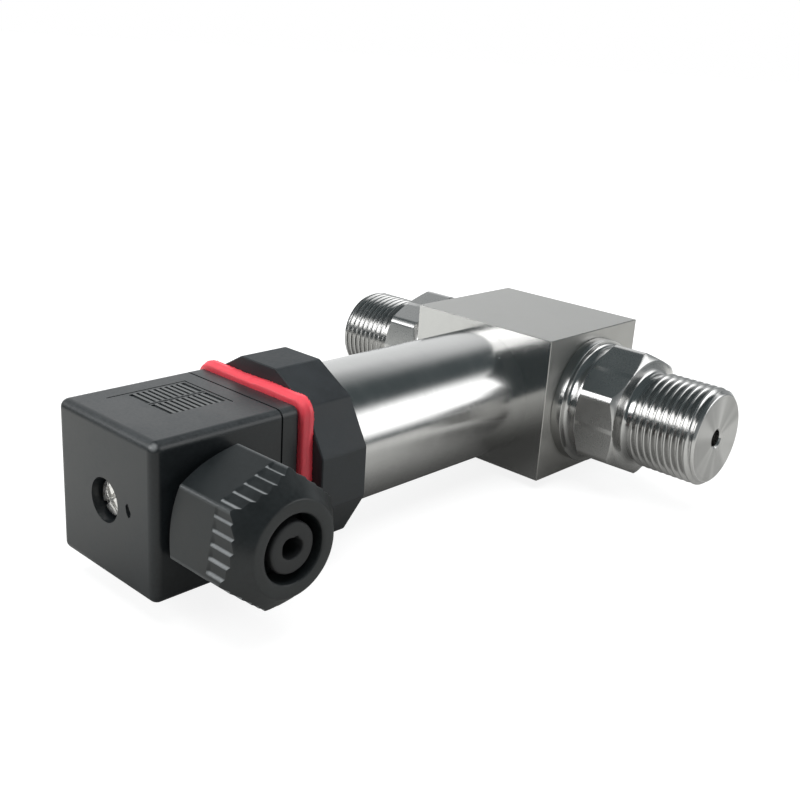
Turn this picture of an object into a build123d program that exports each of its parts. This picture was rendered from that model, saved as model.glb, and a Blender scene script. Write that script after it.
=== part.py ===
from build123d import *
import os
from math import cos, sin, radians, tan

os.makedirs("parts", exist_ok=True)

# ---------------------------------------------------------------------------
# Differential pressure transmitter, millimetres, +Z up.
# Two axes cross at right angles inside the steel block: the port axis runs
# along X through both process fittings, and the body axis runs along Y
# through the tube, the twelve-sided base and the square plug.
# The origin is under the middle of the whole length, at the height of the
# base's lowest flat.
# ---------------------------------------------------------------------------

# overall stations along the body axis, measured from the port axis
# (negative is towards the plug)
block_x, block_y, block_z = 36.0, 32.0, 30.4
tube_r, tube_bore_r = 13.5, 12.0
root_r = 0.3                        # small concave corner where the tube meets the block
collar_back, collar_front = -66.6, -76.8
collar_af = 34.2                    # across flats of the twelve-sided base
gasket_front = -79.0
plug_front = -107.0
plug_size = 26.5

axis_z = collar_af / 2              # height of both axes above the resting flat
port_y = (-plug_front - block_y / 2) / 2    # port axis, from mid-length

# process fittings, measured from the body axis outwards along X
port_tip = 48.4
thread_r = 10.0                     # M20 x 1.5 major radius
thread_start = 35.0
relief_r = 9.1
hex_af = 24.0
hex_back, hex_front = 22.9, 31.95
flange_r, flange_front = 13.5, 20.4
neck_r = 12.0
spigot_r, spigot_end = 11.0, 9.0    # M22 x 1.5 into the block
port_hole_r = 1.75
high_hex_turn, low_hex_turn = 36.1, 21.8    # degrees, corner position

# sensor capsule in the middle of the block
capsule_r, capsule_len = 9.5, 15.0

# plug
plug_corner = 1.5
seam_y = -82.3
cavity = 21.8
insert_size = 21.5
insert_front, insert_back = -89.6, -79.5
blade_w, blade_t, blade_pitch = 6.3, 0.8, 9.0
blade_tip = -88.4
screw_r = 1.5                       # M3
head_r, head_top, head_base = 3.2, -105.8, -102.6
recess_r, recess_floor = 3.7, -102.1

# cable gland, axis parallel to X
gland_y = -95.3
neck_out_r, neck_in_r, neck_end = 7.6, 5.6, 24.0
nut_corner_r = 11.4
nut_back, nut_tip = 14.6, 31.75
nut_bore_r, nut_ring_r = 5.46, 7.47
nut_turn = 21.0                     # degrees, corner position
grommet_tip = 31.05


def across(y):
    """Plane square to the body axis, y from the port axis; +normal is towards the plug."""
    return Plane(origin=(0, port_y + y, axis_z), x_dir=(1, 0, 0), z_dir=(0, -1, 0))


def across_port(x, y=0.0):
    """Plane square to the port axis (or to the gland axis); local x is Y, local y is Z."""
    return Plane(origin=(x, port_y + y, axis_z), x_dir=(0, 1, 0), z_dir=(1, 0, 0))


def along_body():
    """Half-section plane of the body axis: local x is Y from the port axis, local y is radius."""
    return Plane(origin=(0, port_y, axis_z), x_dir=(0, 1, 0), z_dir=(1, 0, 0))


def along_port(y=0.0):
    """Half-section plane of the port or gland axis: local x is X, local y is radius."""
    return Plane(origin=(0, port_y + y, axis_z), x_dir=(1, 0, 0), z_dir=(0, -1, 0))


body_axis = Axis((0, port_y, axis_z), (0, 1, 0))
port_axis = Axis((0, port_y, axis_z), (1, 0, 0))
gland_axis = Axis((0, port_y + gland_y, axis_z), (1, 0, 0))

# ---------------------------------------------------------------------------
# steel block, cross-bored for the capsule and both fittings
# ---------------------------------------------------------------------------
with BuildPart() as manifold_block:
    with BuildSketch(across(block_y / 2)):
        Rectangle(block_x, block_z)
    extrude(amount=block_y)
    chamfer(manifold_block.edges(), length=0.12)
    with BuildSketch(along_port()):
        with BuildLine():
            Polyline((-18.2, 0), (-18.2, spigot_r + 0.32), (-17.6, spigot_r + 0.02),
                     (-8.8, spigot_r + 0.02), (-8.8, capsule_r + 0.05), (8.8, capsule_r + 0.05),
                     (8.8, spigot_r + 0.02), (17.6, spigot_r + 0.02), (18.2, spigot_r + 0.32),
                     (18.2, 0), close=True)
        make_face()
    revolve(axis=port_axis, mode=Mode.SUBTRACT)
    # seat for the tube's spigot and the wiring passage behind it
    with BuildSketch(across(-12.0)):
        Circle(12.55)
    extrude(amount=4.1, mode=Mode.SUBTRACT)
    with BuildSketch(across(-8.0)):
        Circle(3.2)
    extrude(amount=5.0, mode=Mode.SUBTRACT)
manifold_block.part.label = "manifold_block"

# ---------------------------------------------------------------------------
# process fittings: one turned and milled bar each, threads at major diameter
# ---------------------------------------------------------------------------
hex_corner = hex_af / 2 / cos(radians(30))
corner_run = (flange_r - hex_af / 2) * tan(radians(30))


def fitting_profile(s):
    """Turned outline of a fitting; s is +1 on the high side and -1 on the low side."""
    return [(s * spigot_end, 0), (s * spigot_end, spigot_r - 0.8), (s * (spigot_end + 0.8), spigot_r),
            (s * 16.2, spigot_r), (s * 16.2, spigot_r - 0.9), (s * 18.0, spigot_r - 0.9),
            (s * 18.0, flange_r - 0.25), (s * 18.25, flange_r),
            (s * (flange_front - 0.4), flange_r), (s * flange_front, flange_r - 0.4),
            (s * flange_front, neck_r - 0.1), (s * (hex_back + 0.2), neck_r - 0.1),
            (s * (hex_front - 0.1), neck_r - 0.3), (s * 32.35, 10.2),
            (s * 32.7, relief_r), (s * (thread_start - 0.9), relief_r), (s * thread_start, thread_r),
            (s * (port_tip - 1.0), thread_r), (s * port_tip, thread_r - 0.8), (s * port_tip, 0)]


def bore_profile(s):
    """Pressure hole through a fitting, countersunk at the tip."""
    return [(s * (spigot_end - 0.5), 0), (s * (spigot_end - 0.5), port_hole_r),
            (s * (port_tip - 0.3), port_hole_r), (s * (port_tip + 0.1), port_hole_r + 0.4),
            (s * (port_tip + 0.1), 0)]


def hex_envelope(s):
    """Turned outline: 30 degree bevels and a narrow round land on each corner of the hexagon."""
    return [(s * hex_back, 0), (s * hex_back, hex_af / 2), (s * (hex_back + corner_run), flange_r),
            (s * (hex_front - corner_run), flange_r), (s * hex_front, hex_af / 2), (s * hex_front, 0)]


with BuildPart() as high_port_fitting:
    with BuildSketch(across_port(hex_back)):
        RegularPolygon(hex_corner, 6, rotation=high_hex_turn)
    extrude(amount=hex_front - hex_back)
    with BuildSketch(along_port()):
        with BuildLine():
            Polyline(*hex_envelope(1), close=True)
        make_face()
    revolve(axis=port_axis, mode=Mode.INTERSECT)
    with BuildSketch(along_port()):
        with BuildLine():
            Polyline(*fitting_profile(1), close=True)
        make_face()
    revolve(axis=port_axis)
    with BuildSketch(along_port()):
        with BuildLine():
            Polyline(*bore_profile(1), close=True)
        make_face()
    revolve(axis=port_axis, mode=Mode.SUBTRACT)
high_port_fitting.part.label = "high_port_fitting"

with BuildPart() as low_port_fitting:
    with BuildSketch(across_port(-hex_front)):
        RegularPolygon(hex_corner, 6, rotation=low_hex_turn)
    extrude(amount=hex_front - hex_back)
    with BuildSketch(along_port()):
        with BuildLine():
            Polyline(*hex_envelope(-1), close=True)
        make_face()
    revolve(axis=port_axis, mode=Mode.INTERSECT)
    with BuildSketch(along_port()):
        with BuildLine():
            Polyline(*fitting_profile(-1), close=True)
        make_face()
    revolve(axis=port_axis)
    with BuildSketch(along_port()):
        with BuildLine():
            Polyline(*bore_profile(-1), close=True)
        make_face()
    revolve(axis=port_axis, mode=Mode.SUBTRACT)
low_port_fitting.part.label = "low_port_fitting"

# O-rings in the reliefs behind the flanges
with BuildPart() as high_port_seal:
    with BuildSketch(along_port()):
        with Locations((17.1, 10.56)):
            Circle(0.45)
    revolve(axis=port_axis)
high_port_seal.part.label = "high_port_seal"

with BuildPart() as low_port_seal:
    with BuildSketch(along_port()):
        with Locations((-17.1, 10.56)):
            Circle(0.45)
    revolve(axis=port_axis)
low_port_seal.part.label = "low_port_seal"

# ---------------------------------------------------------------------------
# oil-filled sensor capsule with a thin corrugated diaphragm on each side
# ---------------------------------------------------------------------------
pin_spots = [(-1.5, 1.0), (0.0, 1.8), (1.5, 1.0), (0.0, -1.6)]

with BuildPart() as sensor_capsule:
    with BuildSketch(along_port()):
        with BuildLine():
            Polyline((-7.5, 0), (-7.5, capsule_r - 0.3), (-7.2, capsule_r), (7.2, capsule_r),
                     (7.5, capsule_r - 0.3), (7.5, 0), close=True)
        make_face()
    revolve(axis=port_axis)
    with BuildSketch(across_port(-7.5)):
        Circle(7.6)
    extrude(amount=0.6, mode=Mode.SUBTRACT)
    with BuildSketch(across_port(6.9)):
        Circle(7.6)
    extrude(amount=0.6, mode=Mode.SUBTRACT)
    # header pocket with glass-sealed pin holes, facing the tube
    with BuildSketch(across(-7.9)):
        Circle(3.0)
    extrude(amount=3.0, mode=Mode.SUBTRACT)
    with BuildSketch(across(-6.4)):
        with Locations(*pin_spots):
            Circle(0.3)
    extrude(amount=2.0, mode=Mode.SUBTRACT)
sensor_capsule.part.label = "sensor_capsule"


def diaphragm_profile(s):
    """Thin disc with two shallow rings pressed into it."""
    near = [(0, 6.95), (2.0, 6.95), (2.6, 7.1), (3.2, 7.1), (3.8, 6.95), (4.6, 6.95),
            (5.2, 7.1), (5.8, 7.1), (6.4, 6.95), (7.5, 6.95)]
    outline = [(s * x, r) for r, x in near]
    outline += [(s * (x + 0.12), r) for r, x in reversed(near)]
    return outline


with BuildPart() as high_diaphragm:
    with BuildSketch(along_port()):
        with BuildLine():
            Polyline(*diaphragm_profile(1), close=True)
        make_face()
    revolve(axis=port_axis)
high_diaphragm.part.label = "high_diaphragm"

with BuildPart() as low_diaphragm:
    with BuildSketch(along_port()):
        with BuildLine():
            Polyline(*diaphragm_profile(-1), close=True)
        make_face()
    revolve(axis=port_axis)
low_diaphragm.part.label = "low_diaphragm"

# face O-rings pressed between the capsule and each fitting's inner end
with BuildPart() as high_sensor_seal:
    with BuildSketch(along_port()):
        with Locations((8.25, 8.6)):
            Circle(0.73)
    revolve(axis=port_axis)
high_sensor_seal.part.label = "high_sensor_seal"

with BuildPart() as low_sensor_seal:
    with BuildSketch(along_port()):
        with Locations((-8.25, 8.6)):
            Circle(0.73)
    revolve(axis=port_axis)
low_sensor_seal.part.label = "low_sensor_seal"

# four contact pins through the header's glass
with BuildPart() as header_pins:
    with BuildSketch(across(-6.5)):
        with Locations(*pin_spots):
            Circle(0.23)
    extrude(amount=2.8)
header_pins.part.label = "header_pins"

# ---------------------------------------------------------------------------
# tube, its spigot seated in the block
# ---------------------------------------------------------------------------
with BuildPart() as body_tube:
    with BuildSketch(along_body()):
        with BuildLine():
            Polyline((-16.0, tube_r + root_r), (-16.0, 12.5), (-12.3, 12.5), (-12.3, 11.3), (-17.5, 11.3),
                     (-18.2, tube_bore_r), (collar_back + 0.3, tube_bore_r), (collar_back, tube_bore_r + 0.3),
                     (collar_back, tube_r - 0.3), (collar_back + 0.3, tube_r), (-16.0 - root_r, tube_r))
            CenterArc((-16.0 - root_r, tube_r + root_r), root_r, -90, 90)
        make_face()
    revolve(axis=body_axis)
body_tube.part.label = "body_tube"

# ---------------------------------------------------------------------------
# electronics: board held edge-wise by two slotted discs
# ---------------------------------------------------------------------------
board_w, board_t = 19.0, 1.6
board_near, board_far = -24.0, -57.4

with BuildPart() as circuit_board:
    with BuildSketch(across(board_near)):
        Rectangle(board_w, board_t)
    extrude(amount=board_near - board_far)
circuit_board.part.label = "circuit_board"

with BuildPart() as board_supports:
    for station in (-27.0, -53.0):
        with BuildSketch(across(station)):
            Circle(tube_bore_r - 0.15)
            Rectangle(board_w + 0.2, board_t + 0.1, mode=Mode.SUBTRACT)
            with Locations((0, 6.2), (0, -6.2)):
                Circle(3.2, mode=Mode.SUBTRACT)
        extrude(amount=2.4)
board_supports.part.label = "board_supports"

with BuildPart() as signal_chip:
    with BuildSketch(Plane(origin=(0, port_y - 36.0, axis_z + board_t / 2), x_dir=(1, 0, 0), z_dir=(0, 0, 1))):
        Rectangle(7.0, 7.0)
    extrude(amount=1.0)
    chamfer(signal_chip.edges().filter_by(Axis.Z), length=0.4)
signal_chip.part.label = "signal_chip"

with BuildPart() as board_components:
    with BuildSketch(Plane(origin=(0, port_y, axis_z + board_t / 2), x_dir=(1, 0, 0), z_dir=(0, 0, 1))):
        with Locations((-6.0, -44.5), (-6.0, -48.5)):
            Rectangle(4.2, 2.6)
        with Locations((5.6, -45.0)):
            Rectangle(5.4, 4.2)
        with Locations((6.6, -33.0), (6.6, -35.4), (6.6, -37.8), (-6.6, -33.0), (-6.6, -35.4), (-6.6, -37.8)):
            Rectangle(2.0, 1.2)
    extrude(amount=1.2)
board_components.part.label = "board_components"

# ---------------------------------------------------------------------------
# twelve-sided plug base: spigot in the tube, contact platform and centre post
# ---------------------------------------------------------------------------
collar_corner = collar_af / 2 / cos(radians(15))
platform = 20.6
platform_front = -78.7

with BuildPart() as connector_base:
    with BuildSketch(across(collar_back)):
        RegularPolygon(collar_corner, 12, rotation=15)
    extrude(amount=collar_back - collar_front)
    chamfer(connector_base.edges(), length=0.18)
    with BuildSketch(across(-58.6)):
        Circle(11.9)
    extrude(amount=9.0)
    with BuildSketch(across(collar_front + 0.5)):
        RectangleRounded(platform, platform, 1.2)
    extrude(amount=collar_front + 0.5 - platform_front)
    with BuildSketch(across(platform_front + 0.5)):
        Circle(3.2)
    extrude(amount=5.8)
    # hollow behind the contact web
    with BuildSketch(across(-58.5)):
        Circle(10.0)
    extrude(amount=13.0, mode=Mode.SUBTRACT)
    # groove for the O-ring
    with BuildSketch(along_body()):
        with BuildLine():
            Polyline((-65.4, 11.0), (-65.4, 12.5), (-63.9, 12.5), (-63.9, 11.0), close=True)
        make_face()
    revolve(axis=body_axis, mode=Mode.SUBTRACT)
    # seat of the brass insert, screw hole behind it
    with BuildSketch(across(-74.0)):
        Circle(2.25)
    extrude(amount=11.0, mode=Mode.SUBTRACT)
    # slots of the four blades
    with BuildSketch(across(-71.0)):
        with Locations((blade_pitch, 0), (-blade_pitch, 0)):
            Rectangle(blade_t + 0.06, blade_w + 0.06)
        with Locations((0, blade_pitch), (0, -blade_pitch)):
            Rectangle(blade_w + 0.06, blade_t + 0.06)
    extrude(amount=8.5, mode=Mode.SUBTRACT)
connector_base.part.label = "connector_base"

with BuildPart() as base_o_ring:
    with BuildSketch(along_body()):
        with Locations((-64.65, 11.5)):
            Circle(0.49)
    revolve(axis=body_axis)
base_o_ring.part.label = "base_o_ring"

with BuildPart() as screw_insert:
    with BuildSketch(across(-74.2)):
        Circle(2.2)
        Circle(screw_r + 0.06, mode=Mode.SUBTRACT)
    extrude(amount=9.7)
    with BuildSketch(across(-78.4)):
        Circle(2.5)
        Circle(1.9, mode=Mode.SUBTRACT)
    extrude(amount=1.2, mode=Mode.SUBTRACT)
screw_insert.part.label = "screw_insert"

with BuildPart() as contact_blades:
    for x, y, wide in ((blade_pitch, 0, False), (-blade_pitch, 0, False), (0, blade_pitch, True)):
        with BuildSketch(across(-71.4)):
            with Locations((x, y)):
                if wide:
                    Rectangle(blade_w, blade_t)
                else:
                    Rectangle(blade_t, blade_w)
        extrude(amount=-71.4 - blade_tip)
        with BuildSketch(across(-68.6)):
            with Locations((x, y)):
                if wide:
                    Rectangle(3.2, blade_t)
                else:
                    Rectangle(blade_t, 3.2)
        extrude(amount=2.9)
    chamfer(contact_blades.faces().sort_by(Axis.Y)[:3].edges(), length=0.25)
contact_blades.part.label = "contact_blades"

with BuildPart() as earth_blade:
    with BuildSketch(across(-71.4)):
        with Locations((0, -blade_pitch)):
            Rectangle(blade_w, blade_t)
    extrude(amount=-71.4 - blade_tip + 0.6)
    with BuildSketch(across(-68.6)):
        with Locations((0, -blade_pitch)):
            Rectangle(3.2, blade_t)
    extrude(amount=2.9)
    chamfer(earth_blade.faces().sort_by(Axis.Y)[0].edges(), length=0.25)
earth_blade.part.label = "earth_blade"

# square silicone gasket round the contact platform
with BuildPart() as flat_gasket:
    with BuildSketch(across(collar_front)):
        RectangleRounded(29.5, 29.5, 3.2)
        RectangleRounded(platform + 0.1, platform + 0.1, 1.25, mode=Mode.SUBTRACT)
    extrude(amount=collar_front - gasket_front)
    chamfer(flat_gasket.faces().sort_by(Axis.Y)[0].edges(), length=0.2)
flat_gasket.part.label = "flat_gasket"

# ---------------------------------------------------------------------------
# internal leads
# ---------------------------------------------------------------------------
lead_r = 0.4


def lead_path(points, radii):
    return FilletPolyline(*[Vector(x, port_y + y, axis_z + z) for x, y, z in points], radius=radii)


# from the header pins to the inner end of the board
sensor_routes = [
    ([(-1.5, -9.4, 1.0), (-1.5, -17.0, 1.0), (-5.4, -20.6, 2.2), (-5.4, -25.6, 1.25)], 1.2),
    ([(0.0, -9.4, 1.8), (0.0, -17.4, 1.8), (-1.8, -20.8, 2.9), (-1.8, -25.6, 1.25)], 1.2),
    ([(1.5, -9.4, 1.0), (1.5, -17.0, 1.0), (1.8, -20.6, 2.4), (1.8, -25.6, 1.25)], 1.2),
    ([(0.0, -9.4, -1.6), (0.0, -17.4, -1.6), (3.6, -20.4, -2.6), (3.6, -25.6, -1.25)], 1.2),
]
with BuildPart() as sensor_leads:
    for points, bend in sensor_routes:
        with BuildLine() as route:
            lead_path(points, bend)
        with BuildSketch(Plane(origin=route.line @ 0, z_dir=route.line % 0)):
            Circle(lead_r)
        sweep(path=route.line)
sensor_leads.part.label = "sensor_leads"

# from the outer end of the board to the blades' solder tails
output_routes = [
    ([(7.4, -56.6, 1.25), (7.4, -60.5, 1.8), (8.15, -64.5, 1.9), (8.15, -70.4, 1.0)], 1.5),
    ([(-7.4, -56.6, 1.25), (-7.4, -60.5, 1.8), (-8.15, -64.5, 1.9), (-8.15, -70.4, 1.0)], 1.5),
    ([(2.4, -56.6, 1.25), (2.4, -60.0, 2.4), (1.2, -64.0, 7.6), (1.2, -70.4, 8.15)], 1.5),
    ([(-2.4, -56.6, -1.25), (-2.4, -60.0, -2.4), (-1.2, -64.0, -7.6), (-1.2, -70.4, -8.15)], 1.5),
]
with BuildPart() as output_leads:
    for points, bend in output_routes:
        with BuildLine() as route:
            lead_path(points, bend)
        with BuildSketch(Plane(origin=route.line @ 0, z_dir=route.line % 0)):
            Circle(lead_r)
        sweep(path=route.line)
output_leads.part.label = "output_leads"

# ---------------------------------------------------------------------------
# plug housing with the gland neck on its +X side
# ---------------------------------------------------------------------------
with BuildPart() as plug_housing:
    with BuildSketch(across(gasket_front)):
        Rectangle(plug_size, plug_size)
    extrude(amount=gasket_front - plug_front)
    fillet(plug_housing.edges().filter_by(Axis.Y), radius=plug_corner)
    fillet(plug_housing.faces().sort_by(Axis.Y)[0].edges(), radius=plug_corner)
    fillet(plug_housing.faces().sort_by(Axis.Y)[-1].edges(), radius=0.3)
    # threaded neck, then a round seat where it meets the wall
    with BuildSketch(across_port(plug_size / 2 - 1.0, gland_y)):
        Circle(neck_out_r)
    extrude(amount=neck_end - plug_size / 2 + 1.0)
    chamfer(plug_housing.faces().sort_by(Axis.X)[-1].edges(), length=0.5)
    # seam groove round the outside
    with BuildSketch(across(seam_y)):
        Rectangle(plug_size + 1, plug_size + 1)
        RectangleRounded(plug_size - 0.5, plug_size - 0.5, plug_corner - 0.25, mode=Mode.SUBTRACT)
    extrude(amount=0.35, mode=Mode.SUBTRACT)
    # chamber behind the front wall
    with BuildSketch(across(gasket_front + 0.1)):
        RectangleRounded(cavity, cavity, 0.9)
    extrude(amount=25.1, mode=Mode.SUBTRACT)
    # boss round the screw, recess and screw hole
    with BuildSketch(across(-100.1)):
        Circle(5.2)
    extrude(amount=5.0)
    with BuildSketch(across(recess_floor)):
        Circle(recess_r)
    extrude(amount=6.0, mode=Mode.SUBTRACT)
    with BuildSketch(across(-99.0)):
        Circle(screw_r + 0.25)
    extrude(amount=5.0, mode=Mode.SUBTRACT)
    # cable way through the neck
    with BuildSketch(across_port(cavity / 2 - 1.0, gland_y)):
        Circle(neck_in_r - 1.0)
    extrude(amount=8.0, mode=Mode.SUBTRACT)
    with BuildSketch(across_port(16.0, gland_y)):
        Circle(neck_in_r)
    extrude(amount=9.0, mode=Mode.SUBTRACT)
    # shallow framed panel on the top face: two rows of fine ribs
    top_z = plug_size / 2
    with BuildSketch(Plane(origin=(0, port_y, axis_z + top_z - 0.2), x_dir=(1, 0, 0), z_dir=(0, 0, 1))):
        with Locations((-1.75, -85.9)):
            Rectangle(13.2, 0.3)
        with Locations((-8.35, -93.4)):
            Rectangle(0.3, 15.3)
        with Locations((-1.9, -92.0)):
            Rectangle(0.3, 10.9)
        for row_x in (-5.0, 1.2):
            with Locations((row_x, -92.0)):
                Rectangle(5.2, 10.9)
            for k in range(9):
                with Locations((row_x, -87.6 - 1.1 * k)):
                    Rectangle(5.2, 0.55, mode=Mode.SUBTRACT)
    extrude(amount=1.0, mode=Mode.SUBTRACT)
plug_housing.part.label = "plug_housing"

# ---------------------------------------------------------------------------
# terminal insert carrying the four socket contacts and their screws
# ---------------------------------------------------------------------------
contact_w, contact_t = 7.2, 2.8
with BuildPart() as terminal_insert:
    with BuildSketch(across(insert_back)):
        RectangleRounded(insert_size, insert_size, 0.8)
    extrude(amount=insert_back - insert_front)
    with BuildSketch(across(insert_back + 0.1)):
        Circle(3.5)
    extrude(amount=5.2, mode=Mode.SUBTRACT)
    with BuildSketch(across(insert_back)):
        Circle(screw_r + 0.35)
    extrude(amount=12.0, mode=Mode.SUBTRACT)
    # pockets of the contacts, open towards the wiring side
    with BuildSketch(across(-80.6)):
        with Locations((8.7, 0), (-8.7, 0)):
            Rectangle(contact_t + 0.1, contact_w + 0.1)
        with Locations((0, 8.7), (0, -8.7)):
            Rectangle(contact_w + 0.1, contact_t + 0.1)
    extrude(amount=10.0, mode=Mode.SUBTRACT)
    # blind holes under the terminal screws
    with BuildSketch(across(insert_front + 3.6)):
        with Locations((6.3, 0), (-6.3, 0), (0, 6.3), (0, -6.3)):
            Circle(0.88)
    extrude(amount=4.0, mode=Mode.SUBTRACT)
    # blade entries
    with BuildSketch(across(insert_back + 0.1)):
        with Locations((blade_pitch, 0), (-blade_pitch, 0)):
            Rectangle(blade_t + 0.4, blade_w + 0.4)
        with Locations((0, blade_pitch), (0, -blade_pitch)):
            Rectangle(blade_w + 0.4, blade_t + 0.4)
    extrude(amount=2.0, mode=Mode.SUBTRACT)
terminal_insert.part.label = "terminal_insert"

contact_near, contact_far = -80.8, -89.8
contact_spots = [(1, 0), (-1, 0), (0, 1), (0, -1)]
with BuildPart() as socket_contacts:
    for ux, uz in contact_spots:
        wx, wz = (contact_t, contact_w) if ux else (contact_w, contact_t)
        sx, sz = (blade_t + 0.2, blade_w + 0.3) if ux else (blade_w + 0.3, blade_t + 0.2)
        with BuildSketch(across(contact_near)):
            with Locations((8.7 * ux, 8.7 * uz)):
                Rectangle(wx, wz)
        extrude(amount=contact_near - contact_far)
        with BuildSketch(across(contact_near + 0.1)):
            with Locations((blade_pitch * ux, blade_pitch * uz)):
                Rectangle(sx, sz)
        extrude(amount=8.5, mode=Mode.SUBTRACT)
    # terminal tags standing into the wiring chamber, holed for their screws
    for ux, uz in contact_spots:
        with BuildSketch(across(contact_far + 0.1)):
            with Locations((7.2 * ux, 7.2 * uz)):
                Rectangle(5.0, 5.0)
        extrude(amount=1.1)
        with BuildSketch(across(contact_far + 1.0)):
            with Locations((6.3 * ux, 6.3 * uz)):
                Circle(0.85)
        extrude(amount=3.0, mode=Mode.SUBTRACT)
socket_contacts.part.label = "socket_contacts"

with BuildPart() as terminal_screws:
    for ux, uz in contact_spots:
        with BuildSketch(across(contact_far - 1.0)):
            with Locations((6.3 * ux, 6.3 * uz)):
                Circle(1.7)
        extrude(amount=1.2)
        with BuildSketch(across(contact_far + 3.4)):
            with Locations((6.3 * ux, 6.3 * uz)):
                Circle(0.8)
        extrude(amount=4.6)
        with BuildSketch(across(contact_far - 1.8)):
            with Locations((6.3 * ux, 6.3 * uz)):
                Rectangle(4.0, 0.5)
        extrude(amount=0.6, mode=Mode.SUBTRACT)
terminal_screws.part.label = "terminal_screws"

# ---------------------------------------------------------------------------
# captive centre screw with its sealing ring
# ---------------------------------------------------------------------------
with BuildPart() as centre_screw:
    with BuildSketch(along_body()):
        with BuildLine():
            Polyline((head_top, 0), (head_top, head_r - 0.9), (head_top + 0.25, head_r - 0.35),
                     (head_top + 0.7, head_r), (head_base, head_r), (head_base, screw_r),
                     (-76.0, screw_r), (-75.5, screw_r - 0.5), (-75.5, 0), close=True)
        make_face()
    revolve(axis=body_axis)
    # crossed driver recess with one arm of it cut right across the head
    with BuildSketch(across(head_top + 1.1)):
        Rectangle(3.6, 0.85)
        Rectangle(0.85, 3.6)
    extrude(amount=2.0, mode=Mode.SUBTRACT)
    with BuildSketch(across(head_top + 0.55)):
        Rectangle(7.0, 0.75)
    extrude(amount=2.0, mode=Mode.SUBTRACT)
centre_screw.part.label = "centre_screw"

with BuildPart() as screw_seal:
    with BuildSketch(across(recess_floor)):
        Circle(3.3)
        Circle(screw_r + 0.15, mode=Mode.SUBTRACT)
    extrude(amount=recess_floor - head_base)
screw_seal.part.label = "screw_seal"

# ---------------------------------------------------------------------------
# cable gland: grommet, slip washer and hexagon nut
# ---------------------------------------------------------------------------
with BuildPart() as gland_grommet:
    with BuildSketch(along_port(gland_y)):
        with BuildLine():
            Polyline((16.2, 0), (16.2, neck_in_r - 0.5), (16.9, neck_in_r - 0.05), (24.6, neck_in_r - 0.05),
                     (25.4, 4.4), (26.4, 4.15), (grommet_tip - 0.25, 4.15), (grommet_tip, 3.9),
                     (grommet_tip, 0), close=True)
        make_face()
    revolve(axis=gland_axis)
    with BuildSketch(across_port(15.0, gland_y)):
        Circle(1.9)
        with Locations((1.0, 0.85)):
            Circle(1.0)
    extrude(amount=18.0, mode=Mode.SUBTRACT)
gland_grommet.part.label = "gland_grommet"

with BuildPart() as gland_washer:
    with BuildSketch(along_port(gland_y)):
        with BuildLine():
            Polyline((25.2, 4.7), (25.2, 7.3), (26.0, 7.3), (26.0, 4.7), close=True)
        make_face()
    revolve(axis=gland_axis)
gland_washer.part.label = "gland_washer"

nut_flat = nut_corner_r * cos(radians(30))
with BuildPart() as gland_nut:
    with BuildSketch(across_port(nut_back, gland_y)):
        RegularPolygon(nut_corner_r, 6, rotation=nut_turn)
    extrude(amount=nut_tip - nut_back)
    # five axial grip grooves near the front of each flat
    for side in range(6):
        a = nut_turn + 30 + 60 * side
        for k in range(-2, 3):
            ny, nz = cos(radians(a)), sin(radians(a))
            ty, tz = -nz, ny
            with BuildSketch(Plane(origin=(24.3, port_y + gland_y + nut_flat * ny + 1.95 * k * ty,
                                           axis_z + nut_flat * nz + 1.95 * k * tz),
                                   x_dir=(0, ty, tz), z_dir=(1, 0, 0))):
                with BuildLine():
                    Polyline((-0.62, 0.6), (-0.62, 0.1), (0.0, -0.55), (0.35, 0.1), (0.35, 0.6), close=True)
                make_face()
            extrude(amount=9.0, mode=Mode.SUBTRACT)
    # turned envelope: bevelled back, domed front
    with BuildSketch(along_port(gland_y)):
        with BuildLine():
            Polyline((nut_tip, 0), (nut_back, 0), (nut_back, 9.6), (15.8, nut_corner_r),
                     (27.45, nut_corner_r), (28.75, 10.35), (30.15, 9.0), (31.15, 8.0), (31.55, 7.75),
                     (nut_tip, nut_ring_r), close=True)
        make_face()
    revolve(axis=gland_axis, mode=Mode.INTERSECT)
    # bore, shoulder and thread space
    with BuildSketch(along_port(gland_y)):
        with BuildLine():
            Polyline((nut_back - 1, 0), (nut_back - 1, neck_out_r + 0.15), (26.0, neck_out_r + 0.15),
                     (26.0, 6.4), (27.2, nut_bore_r), (nut_tip - 0.2, nut_bore_r),
                     (nut_tip + 0.1, nut_bore_r + 0.3), (nut_tip + 0.1, 0), close=True)
        make_face()
    revolve(axis=gland_axis, mode=Mode.SUBTRACT)
gland_nut.part.label = "gland_nut"

# ---------------------------------------------------------------------------
export_step(manifold_block.part, "parts/manifold_block.step")
export_step(high_port_fitting.part, "parts/high_port_fitting.step")
export_step(low_port_fitting.part, "parts/low_port_fitting.step")
export_step(high_port_seal.part, "parts/high_port_seal.step")
export_step(low_port_seal.part, "parts/low_port_seal.step")
export_step(sensor_capsule.part, "parts/sensor_capsule.step")
export_step(high_diaphragm.part, "parts/high_diaphragm.step")
export_step(low_diaphragm.part, "parts/low_diaphragm.step")
export_step(high_sensor_seal.part, "parts/high_sensor_seal.step")
export_step(low_sensor_seal.part, "parts/low_sensor_seal.step")
export_step(header_pins.part, "parts/header_pins.step")
export_step(body_tube.part, "parts/body_tube.step")
export_step(circuit_board.part, "parts/circuit_board.step")
export_step(board_supports.part, "parts/board_supports.step")
export_step(signal_chip.part, "parts/signal_chip.step")
export_step(board_components.part, "parts/board_components.step")
export_step(connector_base.part, "parts/connector_base.step")
export_step(base_o_ring.part, "parts/base_o_ring.step")
export_step(screw_insert.part, "parts/screw_insert.step")
export_step(contact_blades.part, "parts/contact_blades.step")
export_step(earth_blade.part, "parts/earth_blade.step")
export_step(flat_gasket.part, "parts/flat_gasket.step")
export_step(sensor_leads.part, "parts/sensor_leads.step")
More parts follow.
